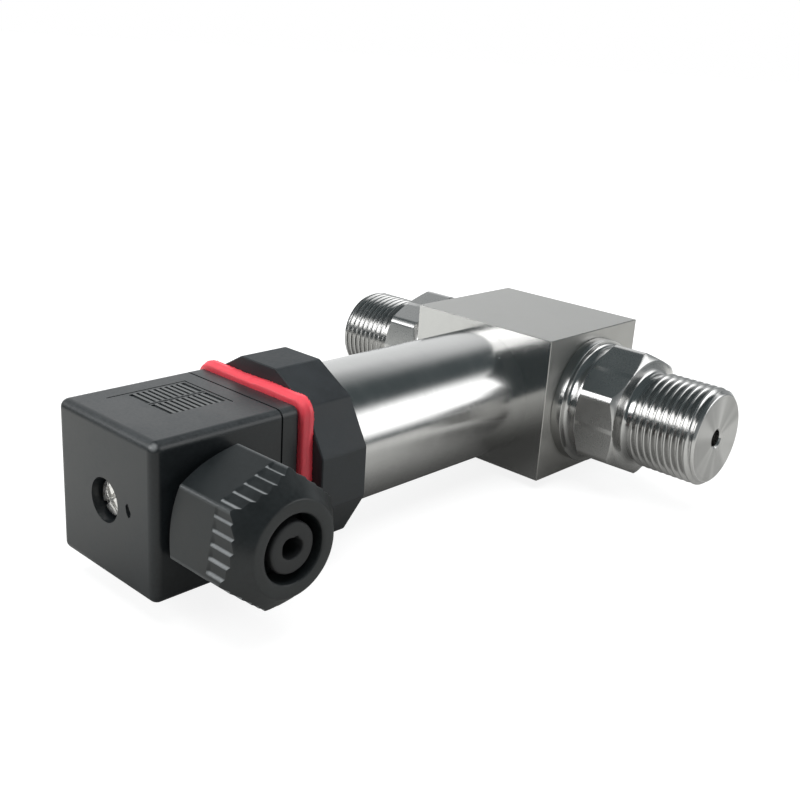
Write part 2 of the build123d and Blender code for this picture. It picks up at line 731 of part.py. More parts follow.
export_step(output_leads.part, "parts/output_leads.step")
export_step(plug_housing.part, "parts/plug_housing.step")
export_step(terminal_insert.part, "parts/terminal_insert.step")
export_step(socket_contacts.part, "parts/socket_contacts.step")
export_step(terminal_screws.part, "parts/terminal_screws.step")
export_step(centre_screw.part, "parts/centre_screw.step")
export_step(screw_seal.part, "parts/screw_seal.step")
export_step(gland_grommet.part, "parts/gland_grommet.step")
export_step(gland_washer.part, "parts/gland_washer.step")
export_step(gland_nut.part, "parts/gland_nut.step")
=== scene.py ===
import math

import bmesh
import bpy
import numpy as np
from mathutils import Matrix, Vector, noise


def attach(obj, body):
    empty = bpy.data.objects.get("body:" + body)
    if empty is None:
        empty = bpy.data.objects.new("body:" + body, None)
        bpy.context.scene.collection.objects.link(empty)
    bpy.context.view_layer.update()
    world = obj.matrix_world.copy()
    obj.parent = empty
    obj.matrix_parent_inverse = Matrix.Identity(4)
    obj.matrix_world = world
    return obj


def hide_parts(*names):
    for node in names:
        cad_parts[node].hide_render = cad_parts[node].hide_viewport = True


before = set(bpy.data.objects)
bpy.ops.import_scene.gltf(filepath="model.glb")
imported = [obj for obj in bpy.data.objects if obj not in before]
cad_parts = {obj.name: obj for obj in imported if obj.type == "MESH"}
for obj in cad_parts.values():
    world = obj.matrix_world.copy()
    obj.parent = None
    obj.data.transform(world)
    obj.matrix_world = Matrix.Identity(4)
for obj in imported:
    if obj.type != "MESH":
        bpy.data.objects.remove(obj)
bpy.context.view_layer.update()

MM = 0.001
PORT_Y, AXIS_Z = 45.5, 17.1          # crossing of the port axis and the body axis, mm
GLAND_Y = PORT_Y - 95.3
AX = (0, PORT_Y * MM, AXIS_Z * MM)

# ---------------------------------------------------------------------------
# view, light and floor
# ---------------------------------------------------------------------------
scene = bpy.context.scene
scene.view_settings.view_transform = "Standard"
scene.view_settings.look = "None"
scene.view_settings.exposure = 0.0
scene.view_settings.gamma = 1.0

cam_data = bpy.data.cameras.new("camera")
cam = bpy.data.objects.new("camera", cam_data)
scene.collection.objects.link(cam)
cam_data.sensor_width = 36.0
cam_data.lens = 47.4953
cam_data.clip_start, cam_data.clip_end = 0.01, 20.0
right = Vector((0.72437489, 0.68663093, 0.06179793)).normalized()
up = Vector((-0.26436397, 0.19386816, 0.94473638)).normalized()
back = right.cross(up).normalized()
up = back.cross(right).normalized()
cam.matrix_world = Matrix.Translation((0.13382222, -0.14200389, 0.08754778)) @ Matrix(
    (right, up, back)).transposed().to_4x4()
scene.camera = cam


def node_tools(tree):
    nodes, links = tree.nodes, tree.links

    def add(kind, **values):
        n = nodes.new(kind)
        for k, v in values.items():
            setattr(n, k, v)
        return n

    def feed(socket, value):
        if isinstance(value, bpy.types.NodeSocket):
            links.new(value, socket)
        elif value is not None:
            socket.default_value = value

    def maths(op, a, b=None, c=None, clamp=False):
        n = add("ShaderNodeMath", operation=op, use_clamp=clamp)
        for i, v in enumerate((a, b, c)):
            feed(n.inputs[i], v)
        return n.outputs[0]

    def step(value, lo, hi, a=0.0, b=1.0, kind="SMOOTHSTEP"):
        n = add("ShaderNodeMapRange", interpolation_type=kind, clamp=True)
        feed(n.inputs["Value"], value)
        feed(n.inputs["From Min"], lo)
        feed(n.inputs["From Max"], hi)
        feed(n.inputs["To Min"], a)
        feed(n.inputs["To Max"], b)
        return n.outputs["Result"]

    def mix(fac, a, b, kind="RGBA", blend="MIX"):
        n = add("ShaderNodeMix", data_type=kind, blend_type=blend) if kind == "RGBA" else add("ShaderNodeMix", data_type=kind)
        ins = {"RGBA": (6, 7, 2), "FLOAT": (2, 3, 0)}[kind]
        feed(n.inputs[0], fac)
        feed(n.inputs[ins[0]], a)
        feed(n.inputs[ins[1]], b)
        return n.outputs[ins[2]]

    return add, feed, maths, step, mix, links


world = bpy.data.worlds.new("studio")
scene.world = world
world.use_nodes = True
world.node_tree.nodes.clear()
add, feed, maths, step, mix, links = node_tools(world.node_tree)
coords = add("ShaderNodeTexCoord")
split = add("ShaderNodeSeparateXYZ")
links.new(coords.outputs["Generated"], split.inputs[0])
wx, wy, wz = split.outputs
elev = maths("MULTIPLY", maths("ARCSINE", wz), 57.29578)
azim = maths("MULTIPLY", maths("ARCTAN2", wx, wy), 57.29578)      # 0 is +Y, 90 is +X


def panel(az0, az1, el0, el1, soft_az, soft_el, level):
    """Soft-edged light panel between two azimuths and two elevations, in degrees."""
    m = maths("MULTIPLY", step(azim, az0 - soft_az, az0 + soft_az), step(azim, az1 - soft_az, az1 + soft_az, 1.0, 0.0))
    m = maths("MULTIPLY", m, step(elev, el0 - soft_el, el0 + soft_el))
    m = maths("MULTIPLY", m, step(elev, el1 - soft_el, el1 + soft_el, 1.0, 0.0))
    return maths("MULTIPLY", m, level)


ceiling = (0.079, 0.096, 0.101, 1)
total = panel(-82, -9, -14, 42, 11, 11, 0.90)                     # white wall, back left
for args in (
    (28, 66, 4, 33, 7, 6, 2.3),                                   # panel, back right
    (-182, -126, 19, 40, 5, 4, 4.7),                              # key panel, front left
    (-14, 26, -6, 24, 8, 8, 0.30),                                # dim wall between the two
    (-128, -80, -6, 34, 8, 10, 0.35),                             # left side
    (70, 118, -4, 22, 8, 8, 0.22),                                # right side
):
    total = maths("ADD", total, panel(*args))
sky = add("ShaderNodeVectorMath", operation="ADD")
grey = add("ShaderNodeCombineXYZ")
for i in range(3):
    links.new(total, grey.inputs[i])
links.new(grey.outputs[0], sky.inputs[0])
sky.inputs[1].default_value = ceiling[:3]
light = add("ShaderNodeBackground")
links.new(sky.outputs[0], light.inputs["Color"])
light.inputs["Strength"].default_value = 1.0
plain = add("ShaderNodeBackground")
plain.inputs["Color"].default_value = (1, 1, 1, 1)
plain.inputs["Strength"].default_value = 1.0
path = add("ShaderNodeLightPath")
choose = add("ShaderNodeMixShader")
links.new(path.outputs["Is Camera Ray"], choose.inputs[0])
links.new(light.outputs[0], choose.inputs[1])
links.new(plain.outputs[0], choose.inputs[2])
out = add("ShaderNodeOutputWorld")
links.new(choose.outputs[0], out.inputs["Surface"])
world.cycles.sampling_method = "MANUAL"
world.cycles.sample_map_resolution = 1024

# overhead panel that lights the plastics but isn't mirrored in the steel; the table is emission only, so its brightness
# is painted glow and not this lamp
top_data = bpy.data.lights.new("overhead", "AREA")
top_data.shape = "RECTANGLE"
top_data.size, top_data.size_y = 0.50, 0.50
top_data.energy = 2.2
top = bpy.data.objects.new("overhead", top_data)
scene.collection.objects.link(top)
top.location = (0.0, 0.0, 0.42)
top.visible_glossy = False
top.visible_camera = False


def disc(name, radius, z):
    bm = bmesh.new()
    bmesh.ops.create_circle(bm, cap_ends=True, segments=96, radius=radius)
    bm.normal_update()
    for f in bm.faces:
        if f.normal.z < 0:
            f.normal_flip()
    me = bpy.data.meshes.new(name)
    bm.to_mesh(me)
    bm.free()
    o = bpy.data.objects.new(name, me)
    o.location = (0, 0, z)
    scene.collection.objects.link(o)
    return o


# the pale floor that the camera sees: it glows, dimmer near the centre as painted shade round the object, and its
# diffuse part takes a faint shadow
floor = disc("floor", 6.0, -0.0001)
m = bpy.data.materials.new("floor_white")
m.use_nodes = True
m.node_tree.nodes.clear()
add, feed, maths, step, mix, links = node_tools(m.node_tree)
glow = add("ShaderNodeEmission")
glow.inputs["Color"].default_value = (1, 1, 1, 1)
geo = add("ShaderNodeNewGeometry")
flat_pos = add("ShaderNodeVectorMath", operation="LENGTH")
links.new(geo.outputs["Position"], flat_pos.inputs[0])
# painted shade: the floor's glow is dimmer within 0.3 m of the centre, where the object stands
feed(glow.inputs["Strength"], step(flat_pos.outputs["Value"], 0.06, 0.30, 0.86, 1.05))
matt = add("ShaderNodeBsdfDiffuse")
matt.inputs["Color"].default_value = (0.30, 0.30, 0.30, 1)
both = add("ShaderNodeAddShader")
links.new(glow.outputs[0], both.inputs[0])
links.new(matt.outputs[0], both.inputs[1])
clear = add("ShaderNodeBsdfTransparent")
pick = add("ShaderNodeMixShader")
links.new(geo.outputs["Backfacing"], pick.inputs[0])
links.new(both.outputs[0], pick.inputs[1])
links.new(clear.outputs[0], pick.inputs[2])
o_ = add("ShaderNodeOutputMaterial")
links.new(pick.outputs[0], o_.inputs["Surface"])
floor.data.materials.append(m)
floor.visible_diffuse = floor.visible_glossy = floor.visible_shadow = floor.visible_transmission = False

# the table that the steel mirrors and that throws light up from below: its glow is painted light, darkened by ambient
# occlusion as a painted contact shadow and brighter towards -x as painted side light
table = disc("table", 0.26, -0.0006)
m = bpy.data.materials.new("table_painted_glow")
m.use_nodes = True
m.node_tree.nodes.clear()
add, feed, maths, step, mix, links = node_tools(m.node_tree)
ao = add("ShaderNodeAmbientOcclusion", samples=8, inside=False, only_local=False)
ao.inputs["Distance"].default_value = 0.085
geo = add("ShaderNodeNewGeometry")
s = add("ShaderNodeSeparateXYZ")
links.new(geo.outputs["Position"], s.inputs[0])
# painted light: the table glows brighter towards -x and dimmer towards +x
side = step(s.outputs[0], -0.06, 0.10, 1.12, 0.80)
# painted contact shadow: ambient occlusion darkens the glow near the object
shade = maths("MULTIPLY", maths("POWER", ao.outputs["AO"], 2.7), side)
glow = add("ShaderNodeEmission")
glow.inputs["Color"].default_value = (0.992, 1.0, 0.972, 1)
feed(glow.inputs["Strength"], maths("ADD", shade, 0.05))
o_ = add("ShaderNodeOutputMaterial")
links.new(glow.outputs[0], o_.inputs["Surface"])
table.data.materials.append(m)
table.visible_camera = False


# ---------------------------------------------------------------------------
# materials
# ---------------------------------------------------------------------------
def material(name):
    m = bpy.data.materials.new(name)
    m.use_nodes = True
    tools = node_tools(m.node_tree)
    return m, m.node_tree.nodes["Principled BSDF"], tools


def tex_noise(add, feed, vector, scale, detail=3.0, rough=0.55):
    n = add("ShaderNodeTexNoise")
    feed(n.inputs["Vector"], vector)
    n.inputs["Scale"].default_value = scale
    n.inputs["Detail"].default_value = detail
    n.inputs["Roughness"].default_value = rough
    return n.outputs["Fac"]


def bump_into(bsdf, add, feed, height, strength, distance, socket=None):
    n = add("ShaderNodeBump")
    n.inputs["Strength"].default_value = strength
    n.inputs["Distance"].default_value = distance
    feed(n.inputs["Height"], height)
    if socket is not None:
        feed(n.inputs["Normal"], socket)
    return n.outputs["Normal"]


def turned_steel(name, axis, centre, colour=(0.60, 0.597, 0.59), rough=0.21, aniso=0.45, ring=0.5, specks=0.6, flats=None):
    """Lathe-turned stainless: rings round the axis in bump and roughness, handling marks, a few specks.

    flats gives the stations in mm between which the surface is milled, so duller; with flats, the faced end also gets
    painted shade and painted reflection in light and dark sectors."""
    m, bsdf, (add, feed, maths, step, mix, links) = material(name)
    tc = add("ShaderNodeTexCoord")
    shift = add("ShaderNodeVectorMath", operation="SUBTRACT")
    links.new(tc.outputs["Object"], shift.inputs[0])
    shift.inputs[1].default_value = centre
    s = add("ShaderNodeSeparateXYZ")
    links.new(shift.outputs[0], s.inputs[0])
    along = s.outputs[axis]
    u, v = [s.outputs[i] for i in range(3) if i != axis]
    radius = maths("SQRT", maths("ADD", maths("MULTIPLY", u, u), maths("MULTIPLY", v, v)))
    ringv = add("ShaderNodeCombineXYZ")
    links.new(along, ringv.inputs[0])
    links.new(radius, ringv.inputs[1])
    fine = tex_noise(add, feed, ringv.outputs[0], 9000.0, 2.0, 0.6)
    coarse = tex_noise(add, feed, ringv.outputs[0], 1500.0, 2.0, 0.5)
    smear = tex_noise(add, feed, shift.outputs[0], 190.0, 4.0, 0.6)
    handling = tex_noise(add, feed, shift.outputs[0], 60.0, 2.0, 0.5)
    height = maths("ADD", maths("MULTIPLY", fine, 0.6), coarse)
    tint = mix(step(smear, 0.35, 0.7), (*[c * 0.965 for c in colour], 1), (*colour, 1))
    # small dust specks and pin marks
    vor = add("ShaderNodeTexVoronoi", feature="F1", distance="EUCLIDEAN")
    links.new(shift.outputs[0], vor.inputs["Vector"])
    vor.inputs["Scale"].default_value = 210.0
    rare = step(tex_noise(add, feed, shift.outputs[0], 310.0, 1.0), 0.60, 0.64)
    speck = maths("MULTIPLY", step(vor.outputs["Distance"], 0.035, 0.06, 1.0, 0.0), rare)
    speck = maths("MULTIPLY", speck, specks)
    if flats:
        # the faced end: painted shade and painted reflection, darker overall with light and dark sectors round its
        # centre
        where = maths("ABSOLUTE", along)
        faced = maths("GREATER_THAN", where, 48.39 * MM)
        around = add("ShaderNodeCombineXYZ")
        links.new(maths("DIVIDE", u, maths("ADD", radius, 0.0004)), around.inputs[0])
        links.new(maths("DIVIDE", v, maths("ADD", radius, 0.0004)), around.inputs[1])
        painted_sector_sheen = step(tex_noise(add, feed, around.outputs[0], 1.7, 1.0, 0.5), 0.36, 0.64)
        tint = mix(faced, tint, mix(painted_sector_sheen, (*[c * 0.58 for c in colour], 1), (*[c * 0.88 for c in colour], 1)))
    links.new(mix(speck, tint, (0.95, 0.95, 0.95, 1)), bsdf.inputs["Base Color"])
    bsdf.inputs["Metallic"].default_value = 1.0
    r = maths("ADD", step(fine, 0.3, 0.7, rough - 0.025, rough + 0.03),
              maths("ADD", step(smear, 0.4, 0.75, -0.012, 0.03), step(handling, 0.45, 0.7, 0.0, 0.02)))
    if flats:
        milled = maths("MULTIPLY", maths("GREATER_THAN", where, flats[0] * MM), maths("LESS_THAN", where, flats[1] * MM))
        r = maths("ADD", r, maths("ADD", maths("MULTIPLY", milled, 0.11), maths("MULTIPLY", faced, 0.13)))
        height = maths("MULTIPLY", height, maths("SUBTRACT", 1.0, maths("MULTIPLY", milled, 0.97)))
        # the end face shows one broad turning mark near its rim
        ringed = maths("MULTIPLY", faced, step(maths("ABSOLUTE", maths("SUBTRACT", radius, 8.15 * MM)), 0.10 * MM, 0.35 * MM, 1.0, 0.0))
        height = maths("ADD", height, maths("MULTIPLY", ringed, 9.0))
    links.new(maths("ADD", r, maths("MULTIPLY", speck, 0.4), clamp=True), bsdf.inputs["Roughness"])
    bsdf.inputs["Anisotropic"].default_value = aniso
    bsdf.inputs["Anisotropic Rotation"].default_value = 0.25
    tan = add("ShaderNodeTangent", direction_type="RADIAL", axis="XYZ"[axis])
    links.new(tan.outputs[0], bsdf.inputs["Tangent"])
    links.new(bump_into(bsdf, add, feed, height, ring, 0.0000025), bsdf.inputs["Normal"])
    return m


def milled_steel(name, colour=(0.565, 0.560, 0.545)):
    """Block faces: satin ground sides, and a front face turned round the body axis."""
    m, bsdf, (add, feed, maths, step, mix, links) = material(name)
    tc = add("ShaderNodeTexCoord")
    shift = add("ShaderNodeVectorMath", operation="SUBTRACT")
    links.new(tc.outputs["Object"], shift.inputs[0])
    shift.inputs[1].default_value = AX
    s = add("ShaderNodeSeparateXYZ")
    links.new(shift.outputs[0], s.inputs[0])
    geo = add("ShaderNodeNewGeometry")
    ns = add("ShaderNodeSeparateXYZ")
    links.new(geo.outputs["Normal"], ns.inputs[0])
    front = step(maths("ABSOLUTE", ns.outputs[1]), 0.85, 0.95)
    radius = maths("SQRT", maths("ADD", maths("MULTIPLY", s.outputs[0], s.outputs[0]),
                                 maths("MULTIPLY", s.outputs[2], s.outputs[2])))
    ringv = add("ShaderNodeCombineXYZ")
    links.new(radius, ringv.inputs[0])
    rings = tex_noise(add, feed, ringv.outputs[0], 2600.0, 3.0, 0.6)
    groove = add("ShaderNodeMath", operation="SINE")
    feed(groove.inputs[0], maths("MULTIPLY", radius, 2 * math.pi / 0.00034))
    c = add("ShaderNodeCombineXYZ")
    links.new(s.outputs[0], c.inputs[0])
    links.new(s.outputs[1], c.inputs[1])
    links.new(maths("MULTIPLY", s.outputs[2], 0.03), c.inputs[2])
    lines = tex_noise(add, feed, c.outputs[0], 5200.0, 3.0, 0.6)
    broad = tex_noise(add, feed, shift.outputs[0], 120.0, 4.0, 0.55)
    patch = tex_noise(add, feed, shift.outputs[0], 420.0, 3.0, 0.5)
    tint = mix(step(broad, 0.3, 0.72), (*[x * 0.955 for x in colour], 1), (*colour, 1))
    tint = mix(front, tint, (0.545, 0.545, 0.538, 1))
    # fine dust specks and pin marks
    vor = add("ShaderNodeTexVoronoi", feature="F1", distance="EUCLIDEAN")
    links.new(shift.outputs[0], vor.inputs["Vector"])
    vor.inputs["Scale"].default_value = 260.0
    rare = step(tex_noise(add, feed, shift.outputs[0], 330.0, 1.0), 0.60, 0.64)
    speck = maths("MULTIPLY", step(vor.outputs["Distance"], 0.035, 0.06, 1.0, 0.0), rare)
    links.new(mix(maths("MULTIPLY", speck, 0.7), tint, (0.95, 0.95, 0.95, 1)), bsdf.inputs["Base Color"])
    bsdf.inputs["Metallic"].default_value = 1.0
    satin = maths("ADD", step(lines, 0.3, 0.7, 0.36, 0.40), step(broad, 0.35, 0.7, -0.015, 0.03))
    satin = maths("ADD", satin, step(patch, 0.4, 0.75, 0.0, 0.02))
    turned = maths("ADD", step(rings, 0.3, 0.7, 0.12, 0.15), step(patch, 0.45, 0.75, 0.0, 0.03))
    links.new(mix(front, satin, turned, "FLOAT"), bsdf.inputs["Roughness"])
    bsdf.inputs["Anisotropic"].default_value = 0.85
    bsdf.inputs["Anisotropic Rotation"].default_value = 0.25
    tan = add("ShaderNodeTangent", direction_type="RADIAL", axis="Y")
    links.new(tan.outputs[0], bsdf.inputs["Tangent"])
    ringh = maths("ADD", maths("MULTIPLY", groove.outputs[0], 0.25), rings)
    height = mix(front, maths("MULTIPLY", lines, 0.6), maths("MULTIPLY", ringh, 0.22), "FLOAT")
    links.new(bump_into(bsdf, add, feed, height, 0.35, 0.0000022), bsdf.inputs["Normal"])
    return m


def moulded(name, colour, rough, grain=0.25, grain_mm=0.22, depth_um=14.0, spec=0.5, broad_mm=9.0, shine=0.07, mottling=0.25,
            worn=(), nick_shade_spots=(), painted_highlights=(), crests=False):
    """Moulded plastic or rubber: fine grain in bump, cloudy gloss and a little colour variation.

    worn holds boxes (x0, x1, y0, y1, z0, z1 in mm) whose raised parts are worn paler;
    the second list holds darker spots of painted shade in nicks (x, y, z, radius in mm); the third holds
    paler spots of painted highlight, or lines where a coordinate is None (x, y, z, radius in mm, strength).
    With crests, the mesh's own attribute of painted highlight makes its raised edges paler."""
    m, bsdf, (add, feed, maths, step, mix, links) = material(name)
    tc = add("ShaderNodeTexCoord")
    grainy = tex_noise(add, feed, tc.outputs["Object"], 1000.0 / grain_mm, 3.0, 0.6)
    cloudy = tex_noise(add, feed, tc.outputs["Object"], 1000.0 / broad_mm, 4.0, 0.55)
    spots = tex_noise(add, feed, tc.outputs["Object"], 1000.0 / (grain_mm * 2.6), 2.0, 0.6)
    dark = tuple(c * (1 - mottling) for c in colour)
    pale = tuple(min(1.0, c * (1 + mottling)) for c in colour)
    blend = maths("ADD", maths("MULTIPLY", cloudy, 0.6), maths("MULTIPLY", spots, 0.4))
    tint = mix(step(blend, 0.32, 0.68), (*dark, 1), (*pale, 1))
    if worn:
        at = add("ShaderNodeSeparateXYZ")
        links.new(tc.outputs["Object"], at.inputs[0])
        wear_and_highlight = None
        for box in worn:
            inside = None
            for axis in range(3):
                lo_, hi_ = box[2 * axis] * MM, box[2 * axis + 1] * MM
                k = maths("MULTIPLY", maths("GREATER_THAN", at.outputs[axis], lo_), maths("LESS_THAN", at.outputs[axis], hi_))
                inside = k if inside is None else maths("MULTIPLY", inside, k)
            wear_and_highlight = inside if wear_and_highlight is None else maths("MAXIMUM", wear_and_highlight, inside)
        uneven = maths("MULTIPLY", wear_and_highlight, step(spots, 0.25, 0.7, 0.65, 1.0))
        tint = mix(uneven, tint, (0.088, 0.092, 0.092, 1))
    # painted highlights: paler spots and lines where the edges and a corner would catch the light
    for x, y, z, size, much in painted_highlights:
        near = add("ShaderNodeVectorMath", operation="MULTIPLY_ADD")
        links.new(tc.outputs["Object"], near.inputs[0])
        near.inputs[1].default_value = [0.0 if v is None else 1.0 for v in (x, y, z)]
        near.inputs[2].default_value = [0.0 if v is None else -v * MM for v in (x, y, z)]
        gap = add("ShaderNodeVectorMath", operation="LENGTH")
        links.new(near.outputs[0], gap.inputs[0])
        k = maths("MULTIPLY", step(gap.outputs["Value"], size * 0.25 * MM, size * MM, much, 0.0), step(spots, 0.2, 0.7, 0.7, 1.0))
        tint = mix(k, tint, (0.30, 0.31, 0.315, 1))
    # painted highlight: raised edges marked in the mesh's attribute are made paler
    if crests:
        wear_and_highlight = add("ShaderNodeAttribute", attribute_type="GEOMETRY", attribute_name="wear_and_highlight")
        tint = mix(maths("MULTIPLY", wear_and_highlight.outputs["Fac"], step(spots, 0.2, 0.7, 0.75, 1.0)), tint, (0.21, 0.222, 0.228, 1))
    shade_in_pit = None
    # painted shade: darker spots where the nicks sit, standing in for the shade inside them
    for x, y, z, size in nick_shade_spots:
        gap = add("ShaderNodeVectorMath", operation="DISTANCE")
        links.new(tc.outputs["Object"], gap.inputs[0])
        gap.inputs[1].default_value = (x * MM, y * MM, z * MM)
        ragged = maths("ADD", gap.outputs["Value"], maths("MULTIPLY", maths("SUBTRACT", spots, 0.5), size * 0.6 * MM))
        k = step(ragged, size * 0.55 * MM, size * MM, 1.0, 0.0)
        shade_in_pit = k if shade_in_pit is None else maths("MAXIMUM", shade_in_pit, k)
    if shade_in_pit is not None:
        tint = mix(maths("MULTIPLY", shade_in_pit, 0.8), tint, (0.004, 0.005, 0.006, 1))
    links.new(tint, bsdf.inputs["Base Color"])
    r = maths("ADD", step(cloudy, 0.3, 0.7, rough - shine * 0.5, rough + shine * 0.5), step(spots, 0.3, 0.75, -0.03, 0.04))
    links.new(maths("ADD", r, 0.0, clamp=True), bsdf.inputs["Roughness"])
    bsdf.inputs["Specular IOR Level"].default_value = spec
    height = maths("ADD", maths("MULTIPLY", grainy, 0.7), maths("MULTIPLY", spots, 0.5))
    normal = bump_into(bsdf, add, feed, height, grain, depth_um * 1e-6)
    links.new(normal, bsdf.inputs["Normal"])
    return m


def plated(name, colour, rough=0.25, lumps_um=0.0):
    """Plated or bright metal, cloudy; lumps_um raises soft dents about 0.4 mm across."""
    m, bsdf, (add, feed, maths, step, mix, links) = material(name)
    tc = add("ShaderNodeTexCoord")
    cloudy = tex_noise(add, feed, tc.outputs["Object"], 900.0, 4.0, 0.6)
    fine = tex_noise(add, feed, tc.outputs["Object"], 6000.0, 2.0, 0.6)
    links.new(mix(step(cloudy, 0.35, 0.7), (*[c * 0.85 for c in colour], 1), (*colour, 1)), bsdf.inputs["Base Color"])
    bsdf.inputs["Metallic"].default_value = 1.0
    links.new(step(cloudy, 0.3, 0.7, rough - 0.06, rough + 0.08), bsdf.inputs["Roughness"])
    normal = bump_into(bsdf, add, feed, fine, 0.3, 0.000006)
    if lumps_um:
        lumps = tex_noise(add, feed, tc.outputs["Object"], 1900.0, 1.5, 0.5)
        normal = bump_into(bsdf, add, feed, lumps, 1.0, lumps_um * 1e-6, normal)
    links.new(normal, bsdf.inputs["Normal"])
    return m


mats = {
    "stainless_block": milled_steel("stainless_block"),
    "stainless_turned": turned_steel("stainless_turned_port", 0, AX, rough=0.175, aniso=0.60, flats=(22.9, 31.95)),
    "tube_steel": turned_steel("stainless_turned_tube", 1, AX, rough=0.20, aniso=0.35, ring=0.35),
    "stainless_foil": plated("stainless_foil", (0.62, 0.62, 0.61), 0.2),
    "black_rubber": moulded("black_rubber", (0.016, 0.017, 0.018), 0.62, 0.5, 0.3, 25.0),
    "plated_contact": plated("plated_contact", (0.78, 0.74, 0.66), 0.28),
    "green_board": moulded("green_board", (0.015, 0.13, 0.045), 0.4, 0.3, 0.5, 12.0),
    "pale_plastic": moulded("pale_plastic", (0.62, 0.60, 0.54), 0.5),
    "chip_resin": moulded("chip_resin", (0.02, 0.02, 0.02), 0.55),
    "component_body": moulded("component_body", (0.30, 0.20, 0.12), 0.5),
    "black_glass_nylon": moulded("black_glass_nylon", (0.0205, 0.0240, 0.0270), 0.56, 0.55, 0.30, 30.0, 0.5, 7.0),
    "brass_insert": plated("brass_insert", (0.75, 0.55, 0.25), 0.3),
    "red_silicone": moulded("red_silicone", (0.86, 0.080, 0.108), 0.40, 0.35, 0.4, 20.0, 0.45, 6.0, 0.1, 0.06),
    "lead_insulation": moulded("lead_insulation", (0.55, 0.05, 0.04), 0.45),
    "black_plug_plastic": moulded("black_plug_plastic", (0.0140, 0.0168, 0.0188), 0.34, 0.26, 0.22, 12.0, 0.44, 8.0,
                                  worn=[(x0, x0 + 5.2, PORT_Y - 97.5, PORT_Y - 86.5, AXIS_Z + 13.15, AXIS_Z + 13.4)
                                        for x0 in (-7.6, -1.4)],
                                  # painted shade in the nick on the end face
                                  nick_shade_spots=[(6.4, PORT_Y - 106.5, 18.0, 0.85), (6.75, PORT_Y - 106.5, 16.9, 0.7)],
                                  # painted highlights along the top-front and top-right edges and on the near top
                                  # corner
                                  painted_highlights=[(12.75, PORT_Y - 106.6, AXIS_Z + 12.8, 1.0, 0.8),
                                        (None, PORT_Y - 106.6, AXIS_Z + 12.85, 1.0, 0.13),
                                        (12.85, None, AXIS_Z + 12.85, 0.9, 0.08)]),
    "grey_insert_plastic": moulded("grey_insert_plastic", (0.30, 0.31, 0.32), 0.5),
    "nickel_screw": plated("nickel_screw", (0.95, 0.94, 0.92), 0.30, 110.0),
    "black_nut_plastic": moulded("black_nut_plastic", (0.0125, 0.0150, 0.0160), 0.38, 0.4, 0.26, 18.0, 0.44, 6.0,
                                 crests=True),
}
mats["red_silicone"].node_tree.nodes["Principled BSDF"].inputs["Subsurface Weight"].default_value = 0.12
mats["red_silicone"].node_tree.nodes["Principled BSDF"].inputs["Subsurface Radius"].default_value = (0.0015, 0.0004, 0.0004)
mats["red_silicone"].node_tree.nodes["Principled BSDF"].inputs["Subsurface Scale"].default_value = 1.0

for node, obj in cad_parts.items():
    for slot in obj.material_slots:
        wanted = slot.material.name.split(".")[0] if slot.material else ""
        if wanted in mats:
            slot.material = mats[wanted]


# ---------------------------------------------------------------------------
# mesh building
# ---------------------------------------------------------------------------
def finish_mesh(name, verts, faces, mat, sharp_deg=32.0, weld=1e-7):
    me = bpy.data.meshes.new(name)
    me.from_pydata([tuple(v) for v in verts], [], faces)
    bm = bmesh.new()
    bm.from_mesh(me)
    bmesh.ops.remove_doubles(bm, verts=bm.verts, dist=weld)
    bmesh.ops.dissolve_degenerate(bm, dist=weld * 0.1, edges=bm.edges)
    bmesh.ops.recalc_face_normals(bm, faces=bm.faces)
    bm.to_mesh(me)
    bm.free()
    me.shade_smooth()
    me.set_sharp_from_angle(angle=math.radians(sharp_deg))
    me.materials.append(mat)
    o = bpy.data.objects.new(name, me)
    scene.collection.objects.link(o)
    return o


def rounded(points, radii, seg=4, closed=True):
    """Polyline with the given corner radii turned into short arcs."""
    out = []
    n = len(points)
    for i, (p, rad) in enumerate(zip(points, radii)):
        p = np.array(p, float)
        if rad <= 0 or (not closed and i in (0, n - 1)):
            out.append(tuple(p))
            continue
        a, b = np.array(points[i - 1], float), np.array(points[(i + 1) % n], float)
        u, v = a - p, b - p
        lu, lv = np.linalg.norm(u), np.linalg.norm(v)
        u, v = u / lu, v / lv
        ang = math.acos(max(-1.0, min(1.0, float(u @ v))))
        t = min(rad / math.tan(ang / 2), lu * 0.45, lv * 0.45)
        rr = t * math.tan(ang / 2)
        c = p + (u + v) / np.linalg.norm(u + v) * (rr / math.sin(ang / 2))
        s0, s1 = p + u * t - c, p + v * t - c
        for k in range(seg + 1):
            w = k / seg
            d = s0 * (1 - w) + s1 * w
            out.append(tuple(c + d / np.linalg.norm(d) * rr))
    return out


class Surface:
    """Rows of points joined into one closed skin."""

    def __init__(self):
        self.verts, self.faces = [], []

    def row(self, pts):
        start = len(self.verts)
        self.verts.extend(pts)
        return list(range(start, start + len(pts)))

    def join(self, a, b):
        n = len(a)
        for i in range(n):
            j = (i + 1) % n
            self.faces.append((a[i], a[j], b[j], b[i]))


def lathe(profile, place, n=256, shape=None):
    """Closed profile loop of (s, r) turned about an axis; place(s, r, angle) gives a point."""
    sf = Surface()
    rows = [sf.row([place(s, r, 2 * math.pi * i / n) for i in range(n)]) for s, r in profile]
    for a, b in zip(rows, rows[1:] + rows[:1]):
        sf.join(a, b)
    return sf


def on_body(s, r, a):
    return (r * math.cos(a) * MM, (PORT_Y + s) * MM, (AXIS_Z + r * math.sin(a)) * MM)


